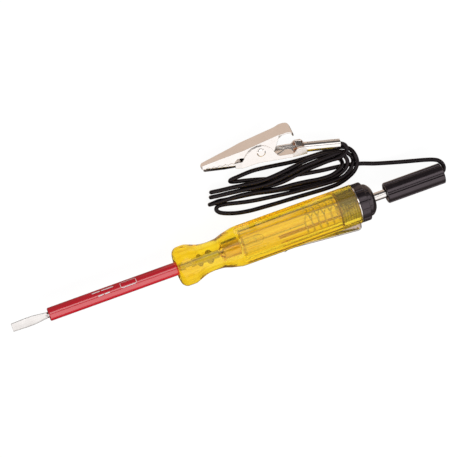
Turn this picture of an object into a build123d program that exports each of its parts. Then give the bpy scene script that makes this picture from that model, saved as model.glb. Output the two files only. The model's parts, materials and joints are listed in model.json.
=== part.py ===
from build123d import *
import math
import os

# Circuit test light: probe with a lamp in a clear amber handle, a plug-in
# lead and a crocodile clip. Tool axis along X, blade tip towards -X, origin
# where the red sleeve enters the handle's front face. Millimetres, +Z up.
# Everything lies on a table at Z = -7.94, under the handle's eight-sided body.
# Profiles of turned pieces are (x, radius).

os.makedirs("parts", exist_ok=True)

# ---- driving dimensions ----
CLIP_FACET = 213.6                # direction of the pocket clip's facet, degrees from +Y
TOP_FACET = CLIP_FACET - 135.0    # facet that faces up, and normal to the blade's flats

BLADE_TIP = -62.2
BLADE_W, BLADE_T = 3.0, 0.5       # at the tip
BLADE_WIDEST = 3.3
SHANK_R = 1.05
SHANK_END = 16.6

SLEEVE_FRONT, SLEEVE_REAR = -48.4, 2.6
SLEEVE_R, SLEEVE_BORE_R = 2.45, 1.1
SLEEVE_NECK_X, SLEEVE_NECK_R = 1.3, 2.2   # gripped end inside the handle

HANDLE_L = 69.5
ACROSS_FLATS = 14.6
GUARD_R, WAIST_R = 7.6, 5.35
SEAT_R, MAIN_BORE_R, MOUTH_R = 3.1, 4.35, 5.45

SPRING_R, SPRING_WIRE_R = 3.5, 0.25

STEM_X0, STEM_R = 63.0, 5.38      # end cap
FLANGE_R, DOME_R = 7.25, 6.05
FLANGE_X0, FLANGE_X1, DOME_X1 = 70.0, 73.4, 76.6
PIN_R, PIN_END = 1.6, 92.0

SHELL_X0, SHELL_X1, SHELL_R = 81.5, 103.8, 3.87
CABLE_R, CONDUCTOR_R = 0.78, 0.45
STRIP_T, STRIP_W = 0.5, 4.0       # pocket clip
JAW_T = 0.5                       # crocodile clip sheet thickness


def write_part(part, name):
    part.label = name
    export_step(part, f"parts/{name}.step")


def around(deg):
    """Radial direction, deg from +Y towards +Z."""
    angle = math.radians(deg)
    return Vector(0, math.cos(angle), math.sin(angle))


def long_plane(deg):
    """Sketch plane holding the tool axis (x) and the radial direction deg (y)."""
    angle = math.radians(deg)
    return Plane(origin=(0, 0, 0), x_dir=(1, 0, 0),
                 z_dir=(0, -math.sin(angle), math.cos(angle)))


def start_plane(path):
    """Plane square to the start of a path."""
    return Plane(origin=path @ 0, z_dir=path % 0)


def turned(profile):
    """Solid of a straight-sided (x, radius) profile turned about the tool axis."""
    with BuildPart() as solid:
        with BuildSketch(Plane.XY):
            with BuildLine():
                Polyline(*profile, close=True)
            make_face()
        revolve(axis=Axis.X)
    return solid.part


# ---------------------------------------------------------------- blade
# Round shank with a flat forged blade, and two pairs of swaged wings that
# key it in the handle's waist.
BLADE_PLANE = Plane(origin=(0, 0, 0), x_dir=(1, 0, 0), z_dir=around(TOP_FACET))
WINGS = [(8.2, 1.5, 1.6), (12.6, 1.8, 1.8)]   # x, radius along, radius across
WING_HALF_T = 0.35
SHANK_FRONT = -49.6
SHANK_CHAMFER = 0.25
NECK_X, NECK_HALF_W = -49.0, SHANK_R - 0.02   # where the forged end meets the shank
TAPER_X = -49.7                               # rear end of the thinned faces
TAPER_CUT_R = 2.4                             # outer reach of the thinning cuts

with BuildPart() as wing_cutter:
    with BuildSketch(BLADE_PLANE):
        for x, along, across in WINGS:
            with Locations((x, 0)):
                Ellipse(along, across)
    extrude(amount=WING_HALF_T, both=True)

with BuildPart() as blade:
    with BuildSketch(Plane.XY):
        with BuildLine():
            Polyline((SHANK_FRONT, 0), (SHANK_FRONT, SHANK_R),
                     (SHANK_END - SHANK_CHAMFER, SHANK_R),
                     (SHANK_END, SHANK_R - SHANK_CHAMFER), (SHANK_END, 0), close=True)
        make_face()
    revolve(axis=Axis.X)
    add(wing_cutter.part)
    # forged end seen square to its flats, widening from the neck, then narrowing to the tip
    with BuildSketch(BLADE_PLANE):
        with BuildLine():
            tip = Line((BLADE_TIP, -BLADE_W / 2), (BLADE_TIP, BLADE_W / 2))
            edge = Spline(tip @ 1, (-55.2, BLADE_WIDEST / 2), (-52.0, 1.4), (NECK_X, NECK_HALF_W),
                          tangents=((1, 0.03), (1, -0.05)))
            neck = Line(edge @ 1, (NECK_X, -NECK_HALF_W))
            Spline(neck @ 1, (-52.0, -1.4), (-55.2, -BLADE_WIDEST / 2), tip @ 0,
                   tangents=((-1, -0.05), (-1, 0.03)))
        make_face()
    extrude(amount=NECK_HALF_W, both=True)
    # both faces taper in thickness from the neck to the tip
    for side in (1, -1):
        with BuildSketch(long_plane(TOP_FACET)):
            with BuildLine():
                face = Spline((BLADE_TIP, side * BLADE_T / 2), (-58.5, side * 0.32),
                              (-54.0, side * 0.58), (TAPER_X, side * (SHANK_R - 0.04)),
                              tangents=((1, side * 0.02), (1, side * 0.16)))
                Polyline(face @ 1, (TAPER_X, side * TAPER_CUT_R),
                         (BLADE_TIP - 1, side * TAPER_CUT_R),
                         (BLADE_TIP - 1, side * BLADE_T / 2), face @ 0)
            make_face()
        extrude(amount=3, both=True, mode=Mode.SUBTRACT)
write_part(blade.part, "blade")

# ---------------------------------------------------------------- sleeve
SLEEVE_PROFILE = [
    (SLEEVE_FRONT, SLEEVE_BORE_R + 0.35), (SLEEVE_FRONT + 0.5, SLEEVE_BORE_R),
    (SLEEVE_REAR, SLEEVE_BORE_R), (SLEEVE_REAR, SLEEVE_NECK_R),
    (SLEEVE_NECK_X, SLEEVE_NECK_R), (SLEEVE_NECK_X, SLEEVE_R),
    (SLEEVE_FRONT + 0.25, SLEEVE_R), (SLEEVE_FRONT, SLEEVE_R - 0.25)]
write_part(turned(SLEEVE_PROFILE), "sleeve")

# ---------------------------------------------------------------- handle
# Clear amber moulding: domed guard, round waist, eight-sided body. The front
# bore grips the sleeve and shank; from the rear a stepped bore holds lamp,
# spring and the end cap's stem.
BLANK_R = 8.6        # turned blank, beyond the octagon's ridges
RIDGE_FILLET_R = 1.1
# guard and waist, front to rear
GUARD_OUTLINE = [
    (0.32, 5.0), (0.75, 6.3), (2.0, 7.25), (3.7, GUARD_R), (6.4, 7.05), (9.6, 5.85),
    (13.6, WAIST_R), (17.0, 5.62), (20.6, 6.7), (24.6, 8.15), (26.8, BLANK_R)]
# stepped bore, rear to front
HANDLE_BORE = [
    (HANDLE_L, MOUTH_R + 0.3), (HANDLE_L - 0.3, MOUTH_R), (62.9, MOUTH_R),
    (62.3, MAIN_BORE_R), (24.95, MAIN_BORE_R), (24.4, SEAT_R), (18.3, SEAT_R),
    (16.7, SHANK_R), (SLEEVE_REAR, SHANK_R), (SLEEVE_REAR, SLEEVE_NECK_R)]

with BuildPart() as handle:
    with BuildSketch(Plane.XY):
        with BuildLine():
            dish = Polyline((SLEEVE_NECK_X, SLEEVE_NECK_R), (SLEEVE_NECK_X, 3.4), (0.45, 4.35))
            guard = Spline(dish @ 1, *GUARD_OUTLINE, tangents=((-0.7, 1), (1, 0.12)))
            Polyline(guard @ 1, (HANDLE_L, BLANK_R), *HANDLE_BORE, dish @ 0)
        make_face()
    revolve(axis=Axis.X)
    # eight flats with softened ridges
    with BuildSketch(Plane.YZ) as octagon:
        RegularPolygon(radius=ACROSS_FLATS / 2, side_count=8, major_radius=False,
                       rotation=CLIP_FACET - 22.5 - 180)
        fillet(octagon.vertices(), RIDGE_FILLET_R)
    extrude(amount=HANDLE_L + 1, mode=Mode.INTERSECT)
    add(wing_cutter.part, mode=Mode.SUBTRACT)
write_part(handle.part, "handle")

# ---------------------------------------------------------------- pocket clip
# Ring trapped between handle and end cap, with one spring strip bent forward
# along a facet.
RING_R, RING_BORE_R = 7.05, 5.6
STRIP_BEND_R = 1.3
# centre line of the strip: x, distance from the tool axis
STRIP_PATH = [(HANDLE_L + STRIP_T / 2, 6.0), (HANDLE_L + STRIP_T / 2, 10.95),
              (41.9, 7.72), (39.9, 8.45)]

with BuildPart() as pocket_clip:
    with BuildSketch(Plane.YZ.offset(HANDLE_L)):
        Circle(RING_R)
        Circle(RING_BORE_R, mode=Mode.SUBTRACT)
    extrude(amount=STRIP_T)
    with BuildSketch(long_plane(CLIP_FACET)):
        with BuildLine() as strip:
            FilletPolyline(*STRIP_PATH, radius=STRIP_BEND_R)
        trace(strip.line, line_width=STRIP_T)
    extrude(amount=STRIP_W / 2, both=True)
    # keep the ring's hole round where the strip starts
    with BuildSketch(Plane.YZ.offset(HANDLE_L - 0.01)):
        Circle(RING_BORE_R)
    extrude(amount=STRIP_T + 0.02, mode=Mode.SUBTRACT)
write_part(pocket_clip.part, "pocket_clip")

# ---------------------------------------------------------------- lamp
INSULATOR_X0, INSULATOR_X1 = 17.45, 18.9
GLASS_X0, GLASS_DOME_X = 20.2, 31.3
GLASS_R, GLASS_BORE_R = 2.7, 2.35
SUPPORT_X0, SUPPORT_Y, SUPPORT_R = 19.5, 0.45, 0.1
SUPPORT_HOLE_R = 0.11
FILAMENT_X, FILAMENT_HALF_L = 30.85, 1.05
FILAMENT_PITCH, FILAMENT_COIL_R, FILAMENT_WIRE_R = 0.26, 0.2, 0.05

CONTACT_PROFILE = [(16.62, 0), (16.62, 0.4), (16.75, 0.7), (17.05, 0.92),
                   (INSULATOR_X0, 1.0), (INSULATOR_X0, 0)]
write_part(turned(CONTACT_PROFILE), "lamp_contact")

INSULATOR_PROFILE = [(INSULATOR_X0, 0), (INSULATOR_X0, 1.15), (18.3, 2.65),
                     (INSULATOR_X1, 2.65), (INSULATOR_X1, 0)]
write_part(turned(INSULATOR_PROFILE), "lamp_insulator")

BASE_PROFILE = [
    (INSULATOR_X1, 1.9), (INSULATOR_X1, 2.66), (18.31, 2.66), (18.31, 2.8), (18.55, 3.0),
    (24.7, 3.0), (25.0, 3.35), (25.35, 3.35), (25.35, 2.74), (19.3, 2.74), (19.3, 1.9)]
write_part(turned(BASE_PROFILE), "lamp_base")

DIAGONAL = math.sin(math.radians(45))
with BuildPart() as lamp_glass:
    with BuildSketch(Plane.XY):
        with BuildLine():
            outside = Polyline((GLASS_X0, GLASS_BORE_R), (GLASS_X0, GLASS_R),
                               (GLASS_DOME_X, GLASS_R))
            outer_dome = ThreePointArc(
                outside @ 1, (GLASS_DOME_X + GLASS_R * DIAGONAL, GLASS_R * DIAGONAL),
                (GLASS_DOME_X + GLASS_R, 0))
            wall = Line(outer_dome @ 1, (GLASS_DOME_X + GLASS_BORE_R, 0))
            inner_dome = ThreePointArc(
                wall @ 1, (GLASS_DOME_X + GLASS_BORE_R * DIAGONAL, GLASS_BORE_R * DIAGONAL),
                (GLASS_DOME_X, GLASS_BORE_R))
            Line(inner_dome @ 1, outside @ 0)
        make_face()
    revolve(axis=Axis.X)
write_part(lamp_glass.part, "lamp_glass")

# glass mount that closes the bulb and carries the two support wires
MOUNT_PROFILE = [(GLASS_X0, 0), (GLASS_X0, 2.34), (21.2, 2.34), (22.6, 1.5),
                 (25.6, 0.95), (26.0, 0.6), (26.0, 0)]
with BuildPart() as lamp_stem:
    with BuildSketch(Plane.XY):
        with BuildLine():
            Polyline(*MOUNT_PROFILE, close=True)
        make_face()
    revolve(axis=Axis.X)
    for side in (1, -1):
        with BuildSketch(Plane.YZ.offset(GLASS_X0 - 0.2)):
            with Locations((side * SUPPORT_Y, 0)):
                Circle(SUPPORT_HOLE_R)
        extrude(amount=8, mode=Mode.SUBTRACT)
write_part(lamp_stem.part, "lamp_stem")

with BuildPart() as lamp_supports:
    for side in (1, -1):
        with BuildLine(Plane.XY) as support:
            Polyline((SUPPORT_X0, side * SUPPORT_Y), (26.3, side * SUPPORT_Y), (30.6, side * 1.25))
        with BuildSketch(Plane(origin=(SUPPORT_X0, side * SUPPORT_Y, 0),
                               x_dir=(0, 1, 0), z_dir=(1, 0, 0))):
            Circle(SUPPORT_R)
        sweep(path=support.line, transition=Transition.RIGHT)
write_part(lamp_supports.part, "lamp_supports")

# coiled filament between the supports
with BuildPart() as lamp_filament:
    with BuildLine() as filament_path:
        Helix(pitch=FILAMENT_PITCH, height=2 * FILAMENT_HALF_L, radius=FILAMENT_COIL_R,
              center=(FILAMENT_X, -FILAMENT_HALF_L, 0), direction=(0, 1, 0))
    with BuildSketch(start_plane(filament_path.line)):
        Circle(FILAMENT_WIRE_R)
    sweep(path=filament_path.line, is_frenet=True)
write_part(lamp_filament.part, "lamp_filament")

# ---------------------------------------------------------------- contact spring
# Coil against the cap's contact, with one long leg running forward to a loop
# that bears on the lamp base's rim.
COIL_X0, COIL_PITCH, COIL_H = 49.2, 2.54, 12.7
LOOP_X, LEG_X0 = 25.72, 25.75

with BuildPart() as contact_spring:
    with BuildLine() as turns:
        Helix(pitch=COIL_PITCH, height=COIL_H, radius=SPRING_R, center=(COIL_X0, 0, 0),
              direction=(1, 0, 0))
    with BuildSketch(start_plane(turns.line)):
        Circle(SPRING_WIRE_R)
    sweep(path=turns.line, is_frenet=True)
    coil_start = turns.line @ 0
    with BuildSketch(Plane(origin=(LEG_X0, coil_start.Y, coil_start.Z), z_dir=(1, 0, 0))):
        Circle(SPRING_WIRE_R)
    extrude(amount=coil_start.X - LEG_X0)
    # ball that fills the corner between leg and coil
    with Locations(Location(coil_start)):
        Sphere(SPRING_WIRE_R)
    with BuildSketch(Plane.XY):
        with Locations((LOOP_X, SPRING_R)):
            Circle(SPRING_WIRE_R)
    revolve(axis=Axis.X)
write_part(contact_spring.part, "contact_spring")

# ---------------------------------------------------------------- end cap
GROOVE_COUNT, GROOVE_R = 12, 0.85
GROOVE_OFFSET = 0.62      # groove centres outside the surface they cut
DISC_R, DISC_T = 4.2, 0.5
DISC_X0 = STEM_X0 - DISC_T
RIVET_HEAD_R = 2.3        # inner end of the plug pin

with BuildPart() as end_cap:
    with BuildSketch(Plane.XY):
        with BuildLine():
            stem = Polyline((STEM_X0, PIN_R), (STEM_X0, STEM_R - 0.4), (STEM_X0 + 0.4, STEM_R),
                            (FLANGE_X0, STEM_R), (FLANGE_X0, FLANGE_R - 0.35))
            front_round = ThreePointArc(stem @ 1, (FLANGE_X0 + 0.1, FLANGE_R - 0.1),
                                        (FLANGE_X0 + 0.35, FLANGE_R))
            rim = Line(front_round @ 1, (FLANGE_X1 - 0.5, FLANGE_R))
            rear_round = ThreePointArc(rim @ 1, (FLANGE_X1 - 0.13, FLANGE_R - 0.15),
                                       (FLANGE_X1, FLANGE_R - 0.55))
            shoulder = Polyline(rear_round @ 1, (FLANGE_X1, DOME_R + 0.12),
                                (FLANGE_X1 + 0.45, DOME_R))
            dome = Spline(shoulder @ 1, (FLANGE_X1 + 1.7, 5.62), (FLANGE_X1 + 2.75, 4.4),
                          (DOME_X1, 2.7), tangents=((1, 0), (0.06, -1)))
            Polyline(dome @ 1, (DOME_X1, PIN_R), stem @ 0)
        make_face()
    revolve(axis=Axis.X)
    # shallow finger grooves round the flange and the dome: x, length, surface radius
    for groove_x, groove_length, surface_r in (
            (FLANGE_X0 - 0.1, FLANGE_X1 - FLANGE_X0 - 0.2, FLANGE_R),
            (FLANGE_X1 + 0.35, 4, DOME_R)):
        with BuildSketch(Plane.YZ.offset(groove_x)):
            with PolarLocations(surface_r + GROOVE_OFFSET, GROOVE_COUNT,
                                start_angle=CLIP_FACET + 15):
                Circle(GROOVE_R)
        extrude(amount=groove_length, mode=Mode.SUBTRACT)
write_part(end_cap.part, "end_cap")

with BuildPart() as cap_contact:
    with BuildSketch(Plane.YZ.offset(DISC_X0)):
        Circle(DISC_R)
        Circle(PIN_R, mode=Mode.SUBTRACT)
    extrude(amount=DISC_T)
write_part(cap_contact.part, "cap_contact")

# plug pin, riveted over the contact disc at its inner end
with BuildPart() as plug_pin:
    with BuildSketch(Plane.XY):
        with BuildLine():
            shank = Polyline((DISC_X0 - 0.8, 0), (DISC_X0 - 0.8, 1.7),
                             (DISC_X0 - 0.4, RIVET_HEAD_R), (DISC_X0, RIVET_HEAD_R),
                             (DISC_X0, PIN_R), (PIN_END - 1.3, PIN_R))
            nose = ThreePointArc(shank @ 1, (PIN_END - 0.35, 1.1), (PIN_END, 0.3))
            Polyline(nose @ 1, (PIN_END, 0), shank @ 0)
        make_face()
    revolve(axis=Axis.X)
write_part(plug_pin.part, "plug_pin")

# ---------------------------------------------------------------- lead plug
SOCKET_X0, SOCKET_R = 82.7, 2.2
SOCKET_BORE_R = PIN_R + 0.05
SLIT_X0, SLIT_L, SLIT_W = 82.6, 8.0, 0.4
FLUTE_COUNT, FLUTE_R = 6, 0.52
SOCKET_PROFILE = [
    (SOCKET_X0, PIN_R + 0.3), (83.0, SOCKET_BORE_R), (93.6, SOCKET_BORE_R), (93.6, 0),
    (94.6, 0), (94.6, 0.5), (98.4, 0.5), (98.4, 1.25), (95.0, 1.25), (94.2, SOCKET_R),
    (83.0, SOCKET_R), (SOCKET_X0, 1.95)]

with BuildPart() as socket_contact:
    with BuildSketch(Plane.XY):
        with BuildLine():
            Polyline(*SOCKET_PROFILE, close=True)
        make_face()
    revolve(axis=Axis.X)
    # two long slits make the front springy
    with Locations((SLIT_X0, 0, 0)):
        Box(SLIT_L, SLIT_W, 6, align=(Align.MIN, Align.CENTER, Align.CENTER), mode=Mode.SUBTRACT)
write_part(socket_contact.part, "socket_contact")

SHELL_BORE_R = 2.27
# cable entry and bore, rear to front
SHELL_BORE = [(SHELL_X1, 1.75), (SHELL_X1 - 2.0, 0.88), (98.7, 0.88), (98.7, 1.34),
              (95.0, 1.34), (94.4, SHELL_BORE_R)]
with BuildPart() as socket_shell:
    with BuildSketch(Plane.XY):
        with BuildLine():
            mouth = Polyline((SHELL_X0 + 0.5, SHELL_BORE_R), (SHELL_X0, 2.75),
                             (SHELL_X0, SHELL_R - 0.55))
            front_round = ThreePointArc(mouth @ 1, (SHELL_X0 + 0.14, SHELL_R - 0.14),
                                        (SHELL_X0 + 0.55, SHELL_R))
            outside = Line(front_round @ 1, (SHELL_X1 - 0.45, SHELL_R))
            rear_round = ThreePointArc(outside @ 1, (SHELL_X1 - 0.12, SHELL_R - 0.12),
                                       (SHELL_X1, SHELL_R - 0.45))
            Polyline(rear_round @ 1, *SHELL_BORE, mouth @ 0)
        make_face()
    revolve(axis=Axis.X)
    # finger flutes along the shell
    with BuildSketch(Plane.YZ.offset(SHELL_X0 - 0.5)):
        with PolarLocations(SHELL_R + 0.02, FLUTE_COUNT, start_angle=TOP_FACET + 12):
            Circle(FLUTE_R)
    extrude(amount=SHELL_X1 - SHELL_X0 + 1, mode=Mode.SUBTRACT)
write_part(socket_shell.part, "socket_shell")

with BuildPart() as conductor_plug_end:
    with BuildSketch(Plane.YZ.offset(94.8)):
        Circle(CONDUCTOR_R)
    extrude(amount=4.0)
write_part(conductor_plug_end.part, "conductor_plug_end")

# ---------------------------------------------------------------- crocodile clip
# The clip lies on its side on the table, leaning on the lead. Its own frame,
# centred on the rivet: a along the jaws towards the cord, b up towards the
# lever, c across.
CLIP_A = Vector(0.98700, -0.16074, 0)
CLIP_C = Vector(-0.07546, -0.46337, 0.88295)
CLIP_ORIGIN = Vector(42.855, 31.139, -1.787)
side_plane = Plane(origin=CLIP_ORIGIN, x_dir=CLIP_A, z_dir=CLIP_C)   # x = a, y = b
CLIP_B = side_plane.y_dir
top_plane = Plane(origin=CLIP_ORIGIN, x_dir=CLIP_A, z_dir=CLIP_B * -1)   # x = a, y = c


def clip_pt(a, b, c=0.0):
    return CLIP_ORIGIN + CLIP_A * a + CLIP_B * b + CLIP_C * c


RIVET_R = 1.0
RIVET_CLEARANCE = 0.05
HEAD_R, HEAD_T = 1.6, 0.3   # rivet heads, one straight and one tapered layer each
EAR_W = 3.5                 # half width over the lower jaw's ears
UPPER_W = 2.9               # half width of the upper jaw between them
HOLE_CUT = 5                # half length of the rivet hole cutters
BARREL_A0, BARREL_A1 = 16.4, 30.0
BARREL_B0, BARREL_B1 = -3.24, -4.60
BARREL_L = BARREL_A1 - BARREL_A0
BARREL_R, BARREL_BORE_R = 1.85, 0.86
SEAM_W = 0.3
barrel_start = clip_pt(BARREL_A0, BARREL_B0)
barrel_dir = (clip_pt(BARREL_A1, BARREL_B1) - barrel_start).normalized()

# tooth line of the lower jaw (a, b); the upper jaw's meshes a small gap above
TEETH = [(-20.3, -4.72), (-19.35, -4.10), (-18.3, -4.60), (-17.3, -3.95), (-16.2, -4.42),
         (-15.2, -3.78), (-14.1, -4.22), (-13.1, -3.60), (-12.0, -4.02), (-11.0, -3.42),
         (-9.9, -3.80)]
TEETH_GAP = 0.16


def both_sides(half):
    """Closed outline (a, c) from a list of (a, half width)."""
    return [(a, -c) for a, c in half] + list(reversed(half))


def sheet_core(side_pts, top_pts):
    """Solid with the side view (a, b) and the top view (a, c)."""
    with BuildPart() as core:
        with BuildSketch(side_plane):
            with BuildLine():
                Polyline(*side_pts, close=True)
            make_face()
        extrude(amount=6, both=True)
        with BuildSketch(top_plane):
            with BuildLine():
                Polyline(*top_pts, close=True)
            make_face()
        extrude(amount=14, both=True, mode=Mode.INTERSECT)
    return core.part


# ---- lower jaw ----
# side view (a, b)
LOWER_OUTLINE = [
    (-20.9, -5.9), (-20.9, -4.65), *TEETH, (-9.4, -3.55), (-8.2, -3.05), (-7.1, -2.75),
    (-6.5, -1.9), (-5.7, -0.6), (-4.6, 0.75), (-3.2, 1.75), (-1.5, 2.35), (0.4, 2.5),
    (2.0, 2.05), (3.4, 1.1), (4.5, -0.2), (5.3, -1.5), (6.1, -2.55), (7.0, -2.95),
    (12.4, -3.0), (13.3, -2.0), (13.7, -1.5), (16.3, -1.45), (16.8, -2.0), (17.3, -3.0),
    (17.3, -4.75), (11.0, -4.45), (-1.3, -4.3), (-5.9, -5.2), (-13.4, -6.1), (-20.4, -6.2)]
LOWER_HOLLOW = [
    (-20.4, -5.65), (-13.4, -6.1 + JAW_T), (-5.9, -5.2 + JAW_T), (-1.3, -4.3 + JAW_T),
    (11.0, -4.45 + JAW_T), (17.5, -4.77 + JAW_T), (17.5, 6), (-20.4, 6)]
# top view (a, half width)
LOWER_TOP = [(-20.9, 0.75), (-20.4, 1.05), (-9.6, 2.35), (-7.2, EAR_W), (11.6, EAR_W),
             (17.4, 2.35)]
LOWER_TOP_HOLLOW = [
    (-20.4, 0.4), (-20.1, 1.08 - JAW_T), (-9.6, 2.35 - JAW_T), (-6.9, EAR_W - JAW_T),
    (11.4, EAR_W - JAW_T), (17.5, 2.35 - JAW_T)]
FLARE_A, FLARE_C = 10.8, 1.3   # the jaw's front widens by FLARE_C a side over FLARE_A
TRIM_TOP, TRIM_LOW = 4.35, 6.6   # distance of the trimmed band's edges below the rivet
TRIM_OUT = 4


def trough(core, inset=0.0):
    """Slice away the two lower edges at the jaw's front, so it narrows downward."""
    with BuildPart() as cut:
        add(core)
        for side in (1, -1):
            along = (CLIP_A * FLARE_A + CLIP_C * (side * FLARE_C)).normalized()
            across = (CLIP_C - along * CLIP_C.dot(along)).normalized()
            with BuildSketch(Plane(origin=clip_pt(-22, 0, side * 0.86),
                                   x_dir=across, z_dir=along)):
                with BuildLine():
                    Polyline((side * (0.05 - inset), TRIM_TOP), (side * (-1.1 - inset), TRIM_LOW),
                             (side * TRIM_OUT, TRIM_LOW), (side * TRIM_OUT, TRIM_TOP), close=True)
                make_face()
            extrude(amount=12.6, mode=Mode.SUBTRACT)
    return cut.part


lower_body = trough(sheet_core(LOWER_OUTLINE, both_sides(LOWER_TOP)))
lower_hollow = trough(sheet_core(LOWER_HOLLOW, both_sides(LOWER_TOP_HOLLOW)), inset=0.55)

with BuildPart() as clip_lower_jaw:
    add(lower_body)
    add(lower_hollow, mode=Mode.SUBTRACT)
    # crimp barrel rolled from the tail, with its seam along the top
    with BuildSketch(Plane(origin=barrel_start, x_dir=CLIP_C, z_dir=barrel_dir)):
        Circle(BARREL_R)
    extrude(amount=BARREL_L)
    with BuildSketch(Plane(origin=barrel_start - barrel_dir * 3.2, x_dir=CLIP_C,
                           z_dir=barrel_dir)):
        Circle(BARREL_BORE_R)
    extrude(amount=BARREL_L + 4, mode=Mode.SUBTRACT)
    with BuildSketch(Plane(origin=barrel_start + barrel_dir * 1.2, x_dir=CLIP_C,
                           z_dir=barrel_dir)):
        with Locations((0, -1.6)):
            Rectangle(SEAM_W, 1.8)
    extrude(amount=BARREL_L, mode=Mode.SUBTRACT)
    # two tabs folded in over the stripped wire
    for side in (1, -1):
        with BuildSketch(Plane(origin=clip_pt(13.9, 0), x_dir=CLIP_C, z_dir=CLIP_A)):
            with BuildLine():
                Polyline((side * 3.0, 1.45), (side * 3.0, 1.95), (side * 0.25, 2.95),
                         (side * 0.25, 2.45), close=True)
            make_face()
        extrude(amount=2.2)
    # rivet hole
    with BuildSketch(side_plane.offset(-HOLE_CUT)):
        Circle(RIVET_R)
    extrude(amount=2 * HOLE_CUT, mode=Mode.SUBTRACT)
write_part(clip_lower_jaw.part, "clip_lower_jaw")

# ---- upper jaw and lever ----
# side view (a, b)
UPPER_OUTLINE = [
    (-21.75, -4.3), (-21.75, -3.6), (-21.3, -3.0), (8.6, 6.18), (9.9, 6.4), (11.0, 6.28),
    (11.9, 5.75), (12.4, 4.9), (12.5, 4.2), (12.0, 4.2), (11.85, 4.75), (11.45, 5.35),
    (10.8, 5.75), (9.8, 5.86), (8.6, 5.65), (7.0, 5.3), (6.6, 3.5), (5.9, 1.6), (5.1, -0.6),
    (4.5, -1.6), (3.3, -2.7), (1.8, -3.38), (0, -3.6), (-1.8, -3.45), (-3.6, -2.9),
    (-5.2, -2.0), (-6.9, -1.5), (-8.6, -1.75), (-9.3, -2.6),
    *[(a, b + TEETH_GAP) for a, b in reversed(TEETH)], (-20.75, -4.5), (-21.3, -4.6)]
UPPER_HOLLOW = [(-21.3, -3.52), (7.6, 5.33), (7.6, -6), (-21.3, -6)]
# top view (a, half width)
UPPER_TOP = [(-21.75, 0.8), (-21.3, 1.08), (-9.6, 2.4), (-6.5, UPPER_W), (6.4, UPPER_W),
             (8.2, 3.4), (11.6, 3.4), (12.5, 2.7)]
UPPER_TOP_HOLLOW = [(-21.3, 0.45), (-21.0, 1.1 - JAW_T), (-9.6, 2.4 - JAW_T),
                    (-6.5, UPPER_W - JAW_T), (7.6, UPPER_W - JAW_T)]
upper_body = sheet_core(UPPER_OUTLINE, both_sides(UPPER_TOP))
upper_hollow = sheet_core(UPPER_HOLLOW, both_sides(UPPER_TOP_HOLLOW))

with BuildPart() as clip_upper_jaw:
    add(upper_body)
    add(upper_hollow, mode=Mode.SUBTRACT)
    with BuildSketch(side_plane.offset(-HOLE_CUT)):
        Circle(RIVET_R + RIVET_CLEARANCE)
    extrude(amount=2 * HOLE_CUT, mode=Mode.SUBTRACT)
write_part(clip_upper_jaw.part, "clip_upper_jaw")

with BuildPart() as clip_rivet:
    with BuildSketch(side_plane.offset(-EAR_W)):
        Circle(RIVET_R)
    extrude(amount=2 * EAR_W)
    for side in (1, -1):
        ear_plane = side_plane.offset(side * EAR_W)
        with BuildSketch(ear_plane):
            Circle(HEAD_R)
        extrude(amount=side * HEAD_T)
        with BuildSketch(ear_plane.offset(side * HEAD_T)):
            Circle(HEAD_R)
        extrude(amount=side * HEAD_T, taper=50)
write_part(clip_rivet.part, "clip_rivet")

# torsion spring round the rivet, one leg under the lever, one in the tray
TORSION_R, TORSION_WIRE_R = 1.65, 0.28
TORSION_PITCH, TORSION_H = 0.75, 3.375
TORSION_C = 1.69          # legs and coil start this far to either side
with BuildPart() as clip_spring:
    with BuildLine() as torsion:
        Helix(pitch=TORSION_PITCH, height=TORSION_H, radius=TORSION_R,
              center=clip_pt(0, 0, -TORSION_C), direction=CLIP_C)
    with BuildSketch(start_plane(torsion.line)):
        Circle(TORSION_WIRE_R)
    sweep(path=torsion.line, is_frenet=True)
    for coil_end, leg_end in ((torsion.line @ 0, clip_pt(9.6, -3.6, -TORSION_C)),
                              (torsion.line @ 1, clip_pt(8.4, 4.85, TORSION_C))):
        leg = leg_end - coil_end
        with BuildSketch(Plane(origin=coil_end, z_dir=leg.normalized())):
            Circle(TORSION_WIRE_R)
        extrude(amount=leg.length)
        with Locations(Location(coil_end)):
            Sphere(TORSION_WIRE_R)
write_part(clip_spring.part, "clip_spring")

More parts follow.
